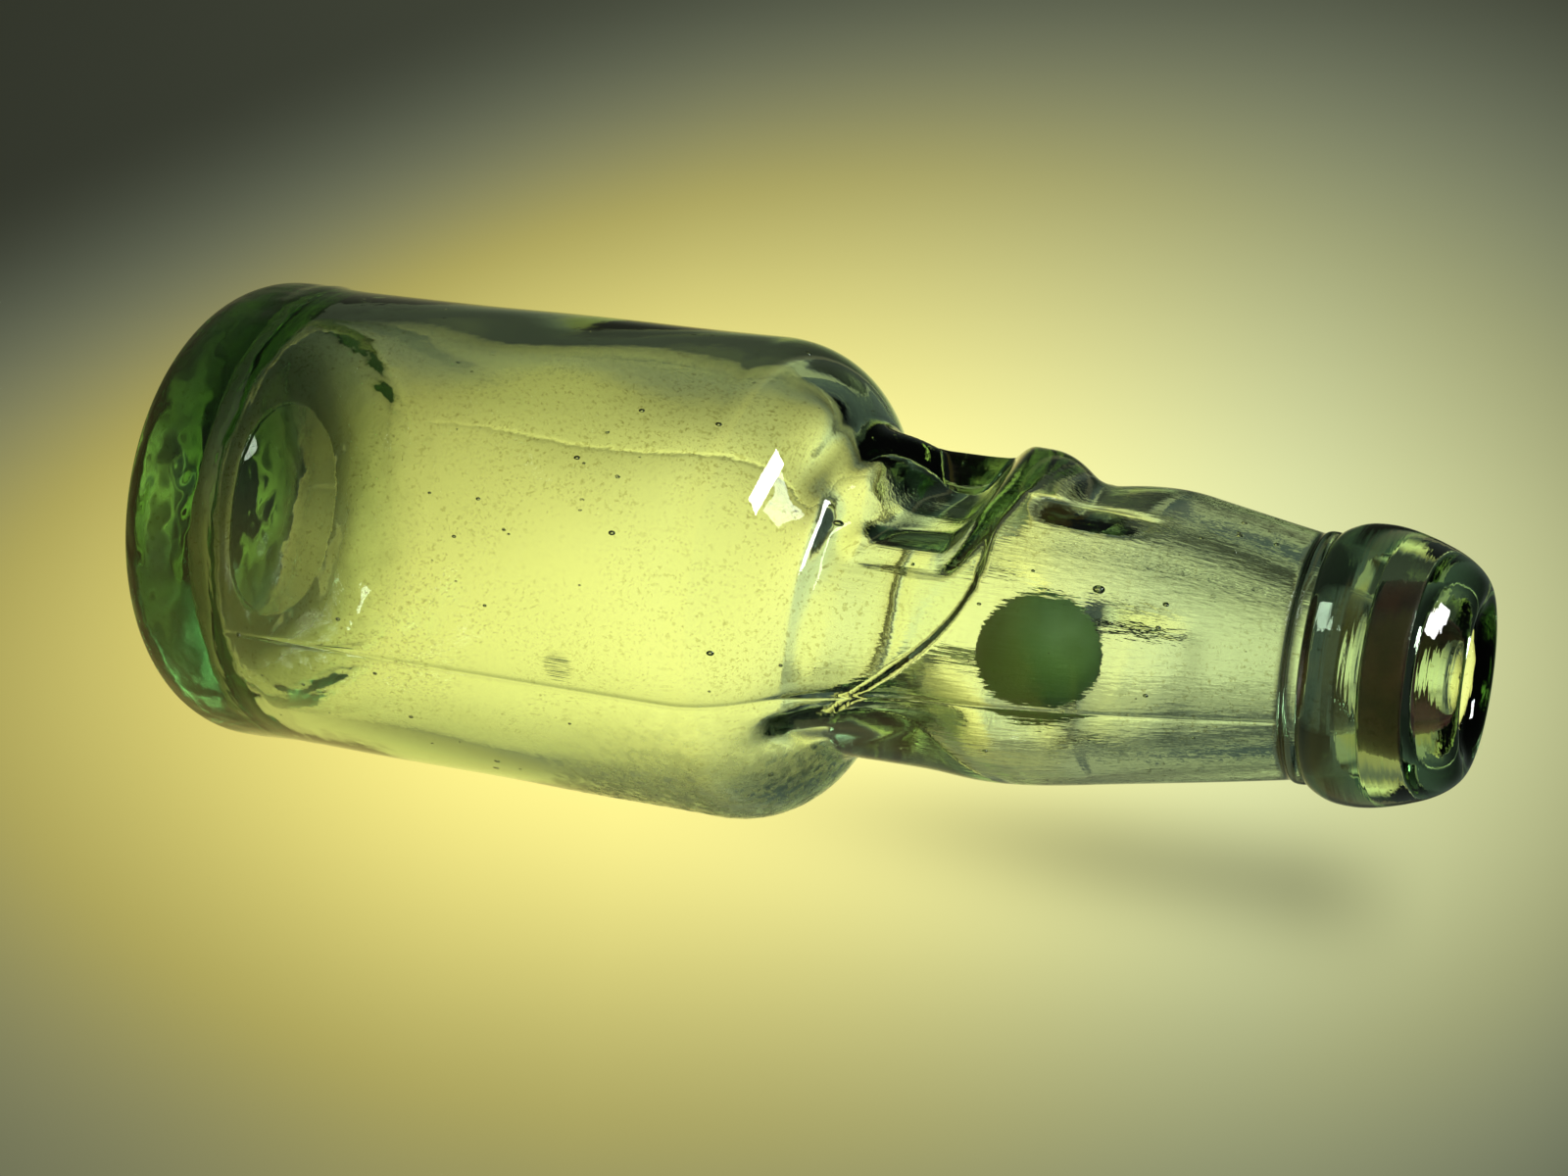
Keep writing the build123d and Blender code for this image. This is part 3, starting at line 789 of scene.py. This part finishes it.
def glass_bumps(tree, place, height):
    """Normal of the glass: fine waves, tooled lip, drawn neck, mottled heel and the scuff."""
    lip = smooth_step(tree, height, *TOOLED_HEIGHTS)
    neck = calc(tree, "SUBTRACT", smooth_step(tree, height, *DRAWN_HEIGHTS), lip)
    heel = smooth_step(tree, height, *HEEL_HEIGHTS, 1.0, 0.0)
    scuff = spot(tree, place, SCUFF_PLACE, *SCUFF_RADII)
    tooled = noise(tree, stretched(tree, place, (TOOLED_STRETCH, TOOLED_STRETCH, 1.0)), TOOLED_SCALE)
    drawn = noise(tree, stretched(tree, place, (1.0, 1.0, DRAWN_STRETCH)), DRAWN_SCALE)
    normal = bump(tree, noise(tree, place, FINE_SCALE, FINE_DETAIL), FINE_STRENGTH, FINE_DEPTH)
    normal = bump(tree, tooled, calc(tree, "MULTIPLY", lip, TOOLED_STRENGTH), TOOLED_DEPTH, normal)
    normal = bump(tree, drawn, calc(tree, "MULTIPLY", neck, DRAWN_STRENGTH), DRAWN_DEPTH, normal)
    normal = bump(tree, noise(tree, place, HEEL_SCALE), calc(tree, "MULTIPLY", heel, HEEL_STRENGTH),
                  HEEL_DEPTH, normal)
    return bump(tree, drawn, scuff, SCUFF_DEPTH, normal)


def glass_roughness(tree, place, height):
    """Roughness of the glass: a worn foot and a pitted patch on the shoulder."""
    foot = smooth_step(tree, height, *FOOT_HEIGHTS, FOOT_ROUGHNESS, 0.0)
    grain = noise(tree, place, WORN_SCALE, WORN_DETAIL)
    pitted = smooth_step(tree, grain, *WORN_LEVELS, *WORN_ROUGHNESS)
    worn = calc(tree, "MULTIPLY", spot(tree, place, WORN_PLACE, *WORN_RADII), pitted)
    return calc(tree, "ADD", calc(tree, "MAXIMUM", foot, worn), GLASS_ROUGHNESS)


def glass_colour(tree, place):
    """Colour of the glass's skin: clear, with specks of dust in patches."""
    specks = smooth_step(tree, noise(tree, place, DUST_SCALE, DUST_DETAIL), *DUST_LEVELS)
    patches = smooth_step(tree, noise(tree, place, DUST_PATCH_SCALE), *DUST_PATCH_LEVELS)
    return mixed(tree, calc(tree, "MULTIPLY", specks, patches), CLEAN_GLASS, DUST)


def glass_material():
    """Green glass that absorbs light by its thickness."""
    material, tree = new_material("bottle_green_glass")
    place = add(tree, "ShaderNodeTexCoord").outputs["Object"]
    height = add(tree, "ShaderNodeSeparateXYZ", {"Vector": place}).outputs["Z"]
    surface = add(tree, "ShaderNodeBsdfPrincipled", {
        "Base Color": glass_colour(tree, place), "Roughness": glass_roughness(tree, place, height),
        "IOR": GLASS_IOR, "Transmission Weight": 1.0, "Normal": glass_bumps(tree, place, height)})
    volume = add(tree, "ShaderNodeVolumeAbsorption", {"Color": GLASS_TINT, "Density": GLASS_ABSORPTION})
    finish_material(tree, surface, volume)
    return material


def marble_material():
    """Green glass ground matt, milky at its skin."""
    material, tree = new_material("marble_ground_glass")
    place = add(tree, "ShaderNodeTexCoord").outputs["Object"]
    cloud = noise(tree, place, MARBLE_CLOUD_SCALE, MARBLE_CLOUD_DETAIL)
    tint = mixed(tree, smooth_step(tree, cloud, *MARBLE_CLOUD_LEVELS), *MARBLE_TINTS)
    grain = noise(tree, place, MARBLE_GRAIN_SCALE)
    surface = add(tree, "ShaderNodeBsdfPrincipled", {
        "Base Color": tint, "Roughness": MARBLE_ROUGHNESS, "IOR": MARBLE_IOR,
        "Transmission Weight": MARBLE_CLEARNESS,
        "Normal": bump(tree, grain, MARBLE_GRAIN_STRENGTH, MARBLE_GRAIN_DEPTH)})
    finish_material(tree, surface)
    return material


def ring_material():
    """Old dark red-brown rubber with a dull bloom."""
    material, tree = new_material("ring_rubber")
    place = add(tree, "ShaderNodeTexCoord").outputs["Object"]
    cloud = noise(tree, place, RUBBER_SCALE, RUBBER_DETAIL)
    tint = mixed(tree, smooth_step(tree, cloud, *RUBBER_LEVELS), *RUBBER_TINTS)
    surface = add(tree, "ShaderNodeBsdfPrincipled", {
        "Base Color": tint, "Roughness": RUBBER_ROUGHNESS,
        "Normal": bump(tree, cloud, RUBBER_STRENGTH, RUBBER_DEPTH)})
    finish_material(tree, surface)
    return material


# ==== stage: glowing floor, world and lamps
# The floor glows in a painted pool of light round the bottle, darker on one side as painted shade.
# In metres, X runs away from the camera's side and Y to the picture's upper edge; the slant is Y over
# the distance in X from POOL_APEX. A pair says where an edge starts and where it is complete.
POOL_PEAK = 1.9
POOL_APEX = -0.4
LEAST_REACH = 0.05           # the distance from the apex counts as no less
POOL_NEAR, POOL_NEAR_FALL = 0.10, 0.203
POOL_FAR, POOL_FAR_FALL, POOL_FAR_LEVEL = 0.15, 1.05, 0.05
# painted shade: the pool's dark side
DARK_SLANT, DARK_SLANT_WIDTH, DARK_LEVEL = 0.0724, 0.1718, 0.0284
DARK_START, DARK_SHIFT, DARK_SHIFT_LENGTH = -0.06, 0.1436, 0.15
LOW_SLANT, LOW_SLANT_WIDTH, LOW_LEVEL = 0.0595, 0.16, 0.1
SHADOW_SLANT, SHADOW_SLANT_WIDTH = -0.067, 0.017   # the bottle's own shade, under the neck
SHADOW_FROM, SHADOW_FULL, SHADOW_TO, SHADOW_END = 0.1, 0.5, 0.7, 1.0
SHADOW_LEVEL = 0.42
POOL_START, POOL_TOP, POOL_LOW_SLANT = (-0.25, -0.09), (0.5, 0.9), (-0.5, -0.26)
ROUND_LEVEL = 0.35           # of the floor well outside the pool
WARM, COOL, DIM = (1.13, 1.0, 0.27, 1), (0.95, 1.0, 0.50, 1), (0.88, 1.0, 0.66, 1)
COOLING = (-0.06, 0.7)       # in X, from the warm to the cool tint
DIMMING = (0.05, 0.4)        # strengths between which the dim tint gives way

FOOT_SHADOW = 0.16            # painted shadow under the foot: share of the glow left near it, as mirrors and glass show it
FOOT_SHADOW_RADII = (0.018, 0.045)
# lighter middle of that painted shadow, under the push-up
FOOT_SHADOW_MIDDLE = 0.35
FOOT_SHADOW_MIDDLE_RADII = (0.008, 0.014)
THROUGH_GLASS = 1.2          # strength seen through glass, for 1 seen directly
THROUGH_SHIFT = 0.012        # how much nearer the dark side then begins
FLOOR_DIFFUSE = (0.004, 0.004, 0.003, 1)
FLOOR_RADIUS = 5000          # millimetres, as its depth under the foot
FLOOR_DEPTH = 0.15
FLOOR_CORNERS = 96

SKY = (0.78, 1.0, 0.80, 1)   # as the camera sees it, also mirrored and through glass
SKY_SLOPE, SKY_LEVELS = (0.0, 0.4), (0.12, 0.02)
SKY_LIGHT, SKY_LIGHT_STRENGTH = (1, 1, 0.95, 1), 0.5    # as diffuse rays see it
KEY_PLACE, KEY_TARGET = (-0.05, -0.97, 1.0), (0, 0, 0.09)
KEY_WIDTH, KEY_HEIGHT, KEY_POWER = 0.72, 0.30, 20


def bell(tree, value, width):
    """Falls from 1 at 0 to nothing beyond a few widths."""
    share = calc(tree, "POWER", calc(tree, "DIVIDE", value, width), 2.0)
    return calc(tree, "EXPONENT", calc(tree, "MULTIPLY", share, -1.0))


def decay(tree, value, length):
    """Falls from 1 at 0 and below, by e each length."""
    share = calc(tree, "DIVIDE", calc(tree, "MAXIMUM", value, 0.0), -length)
    return calc(tree, "EXPONENT", share)


def between(tree, low, high, share):
    """From low at a share of 0 to high at 1."""
    return calc(tree, "MULTIPLY_ADD", share, high - low, low)


def pool_strength(tree, along, across):
    """How bright the floor glows at a place."""
    through = add(tree, "ShaderNodeLightPath").outputs["Is Transmission Ray"]
    across = calc(tree, "MULTIPLY_ADD", through, THROUGH_SHIFT, across)
    reach = calc(tree, "MAXIMUM", calc(tree, "SUBTRACT", along, POOL_APEX), LEAST_REACH)
    slant = calc(tree, "DIVIDE", across, reach)
    near = decay(tree, calc(tree, "SUBTRACT", along, DARK_START), DARK_SHIFT_LENGTH)
    slant_up = calc(tree, "MULTIPLY_ADD", near, DARK_SHIFT, slant)
    upper = smooth_step(tree, slant_up, DARK_SLANT - DARK_SLANT_WIDTH, DARK_SLANT + DARK_SLANT_WIDTH,
                        1.0, DARK_LEVEL)
    below = calc(tree, "MAXIMUM", calc(tree, "SUBTRACT", LOW_SLANT, slant), 0.0)
    lower = between(tree, LOW_LEVEL, 1.0, bell(tree, below, LOW_SLANT_WIDTH))
    before = calc(tree, "MAXIMUM", calc(tree, "SUBTRACT", POOL_NEAR, along), 0.0)
    before = calc(tree, "POWER", calc(tree, "DIVIDE", before, POOL_NEAR_FALL), 2.0)
    beyond = decay(tree, calc(tree, "SUBTRACT", along, POOL_FAR), POOL_FAR_FALL)
    beyond = between(tree, POOL_FAR_LEVEL, 1.0, beyond)
    ends = calc(tree, "DIVIDE", beyond, calc(tree, "ADD", before, 1.0))
    pool = calc(tree, "MULTIPLY", calc(tree, "MULTIPLY", upper, lower), ends)
    pool = calc(tree, "MULTIPLY", pool, POOL_PEAK)
    shade = bell(tree, calc(tree, "SUBTRACT", slant, SHADOW_SLANT), SHADOW_SLANT_WIDTH)
    shade_start = smooth_step(tree, along, SHADOW_FROM, SHADOW_FULL, 0.0, SHADOW_LEVEL)
    shade_end = smooth_step(tree, along, SHADOW_TO, SHADOW_END, 1.0, 0.0)
    shade = calc(tree, "MULTIPLY", calc(tree, "MULTIPLY", shade, shade_start), shade_end)
    pool = calc(tree, "MULTIPLY", pool, calc(tree, "SUBTRACT", 1.0, shade))
    inside = smooth_step(tree, along, *POOL_START)
    inside = calc(tree, "MULTIPLY", inside, smooth_step(tree, across, *POOL_TOP, 1.0, 0.0))
    inside = calc(tree, "MULTIPLY", inside, smooth_step(tree, slant, *POOL_LOW_SLANT))
    pool = calc(tree, "MULTIPLY", pool, inside)
    outside = calc(tree, "MULTIPLY_ADD", inside, -ROUND_LEVEL, ROUND_LEVEL)
    return calc(tree, "ADD", pool, outside)


def floor_glow(tree, place):
    """Colour and strength of the floor's glow."""
    turn = add(tree, "ShaderNodeVectorRotate", {"Vector": place, "Axis": (0, 0, 1),
                                                "Angle": -radians(90 + CAMERA_AZIMUTH)})
    parts = add(tree, "ShaderNodeSeparateXYZ", {"Vector": turn.outputs[0]})
    along = parts.outputs["X"]
    strength = pool_strength(tree, along, parts.outputs["Y"])
    tint = mixed(tree, smooth_step(tree, along, *COOLING), WARM, COOL)
    tint = mixed(tree, smooth_step(tree, strength, *DIMMING, 1.0, 0.0), tint, DIM)
    return tint, strength


def seen_directly(tree):
    """1 for rays from the camera or a mirror, THROUGH_GLASS for those through glass, 0 for diffuse."""
    path = add(tree, "ShaderNodeLightPath")
    total = calc(tree, "ADD", path.outputs["Is Camera Ray"], path.outputs["Is Glossy Ray"])
    through = calc(tree, "MULTIPLY", path.outputs["Is Transmission Ray"], THROUGH_GLASS)
    return calc(tree, "MAXIMUM", calc(tree, "MINIMUM", total, 1.0), through)


def make_floor():
    """Dark floor whose glow is seen directly, but not by diffuse rays."""
    material, tree = new_material("floor_painted_glow")
    place = add(tree, "ShaderNodeNewGeometry").outputs["Position"]
    colour, strength = floor_glow(tree, place)
    diffuse = add(tree, "ShaderNodeBsdfDiffuse", {"Color": FLOOR_DIFFUSE})
    away = add(tree, "ShaderNodeVectorMath", {0: place}, operation="LENGTH").outputs["Value"]
    # Painted shadow under the foot, lighter under the push-up; the camera's own rays don't see it.
    under = smooth_step(tree, away, *FOOT_SHADOW_RADII, FOOT_SHADOW, 1.0)
    shadow_middle = smooth_step(tree, away, *FOOT_SHADOW_MIDDLE_RADII, FOOT_SHADOW_MIDDLE, 0.0)
    under = calc(tree, "MAXIMUM", under, shadow_middle)
    camera_ray = add(tree, "ShaderNodeLightPath").outputs["Is Camera Ray"]
    under = calc(tree, "MAXIMUM", under, camera_ray)
    seen = calc(tree, "MULTIPLY", calc(tree, "MULTIPLY", seen_directly(tree), under), strength)
    glow = add(tree, "ShaderNodeEmission", {"Color": colour, "Strength": seen})
    both = add(tree, "ShaderNodeAddShader")
    tree.links.new(diffuse.outputs[0], both.inputs[0])
    tree.links.new(glow.outputs[0], both.inputs[1])
    finish_material(tree, both)
    corners = range(FLOOR_CORNERS)
    turns = [2 * pi * k / FLOOR_CORNERS for k in corners]
    rim = [(FLOOR_RADIUS * cos(turn), FLOOR_RADIUS * sin(turn), -FLOOR_DEPTH) for turn in turns]
    floor = make_piece("floor", rim, [tuple(corners)])
    floor.data.materials.append(material)


def make_world():
    """Dim sky for what is seen directly, and an even light for diffuse rays."""
    world = bpy.data.worlds.new("studio")
    bpy.context.scene.world = world
    world.use_nodes = True
    tree = world.node_tree
    tree.nodes.clear()
    direction = add(tree, "ShaderNodeTexCoord").outputs["Generated"]
    parts = add(tree, "ShaderNodeSeparateXYZ", {"Vector": direction})
    overhead = smooth_step(tree, parts.outputs["Z"], *SKY_SLOPE, *SKY_LEVELS)
    seen = add(tree, "ShaderNodeBackground", {"Color": SKY, "Strength": overhead})
    light = add(tree, "ShaderNodeBackground", {"Color": SKY_LIGHT, "Strength": SKY_LIGHT_STRENGTH})
    mix = add(tree, "ShaderNodeMixShader", {0: calc(tree, "MINIMUM", seen_directly(tree), 1.0)})
    tree.links.new(light.outputs[0], mix.inputs[1])
    tree.links.new(seen.outputs[0], mix.inputs[2])
    out = add(tree, "ShaderNodeOutputWorld")
    tree.links.new(mix.outputs[0], out.inputs["Surface"])


def make_key_lamp():
    """Wide lamp on the -Y side, above the bottle."""
    light = bpy.data.lights.new("key", "AREA")
    light.shape = "RECTANGLE"
    light.size, light.size_y = KEY_WIDTH, KEY_HEIGHT
    light.energy = KEY_POWER
    lamp = bpy.data.objects.new("key", light)
    lamp.location = KEY_PLACE
    lamp.rotation_mode = "QUATERNION"
    lamp.rotation_quaternion = (Vector(KEY_TARGET) - Vector(KEY_PLACE)).to_track_quat("-Z", "Y")
    bpy.context.scene.collection.objects.link(lamp)


def make_camera():
    """Camera of the photograph, with the bottle's axis running to the right in its picture."""
    forward, right, down = Vector((0, 1, 0)), Vector((0, 0, 1)), Vector((1, 0, 0))
    yaw = Quaternion(down, radians(CAMERA_YAW))
    forward, right = yaw @ forward, yaw @ right
    pitch = Quaternion(right, radians(CAMERA_PITCH))
    forward, down = pitch @ forward, pitch @ down
    roll = Quaternion(forward, radians(CAMERA_ROLL))
    right, down = roll @ right, roll @ down
    turn = Matrix.Rotation(radians(CAMERA_AZIMUTH), 3, "Z")
    axes = Matrix((turn @ right, turn @ -down, turn @ -forward)).transposed()
    data = bpy.data.cameras.new("camera")
    data.lens = CAMERA_LENS
    data.sensor_width = SENSOR_WIDTH
    data.clip_start, data.clip_end = 0.01, 50
    camera = bpy.data.objects.new("camera", data)
    camera.matrix_world = Matrix.Translation(
        turn @ Vector((0, -CAMERA_DISTANCE * MM, CAMERA_HEIGHT * MM))) @ axes.to_4x4()
    bpy.context.scene.collection.objects.link(camera)
    bpy.context.scene.camera = camera


# ==== the scene
glass = make_piece("bottle_glass_blown", *glass_mesh())
glass.data.materials.append(glass_material())
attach(glass, "bottle")
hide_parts("bottle_glass", "applied_lip")

marble = make_piece("marble_ground", *marble_mesh())
marble.data.materials.append(marble_material())
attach(marble, "marble")
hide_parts("marble")

ring = make_piece("sealing_ring_rubber", *ring_mesh())
ring.data.materials.append(ring_material())
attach(ring, "bottle")
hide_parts("sealing_ring")

make_floor()
make_world()
make_camera()
make_key_lamp()
bpy.context.scene.view_settings.view_transform = "Standard"
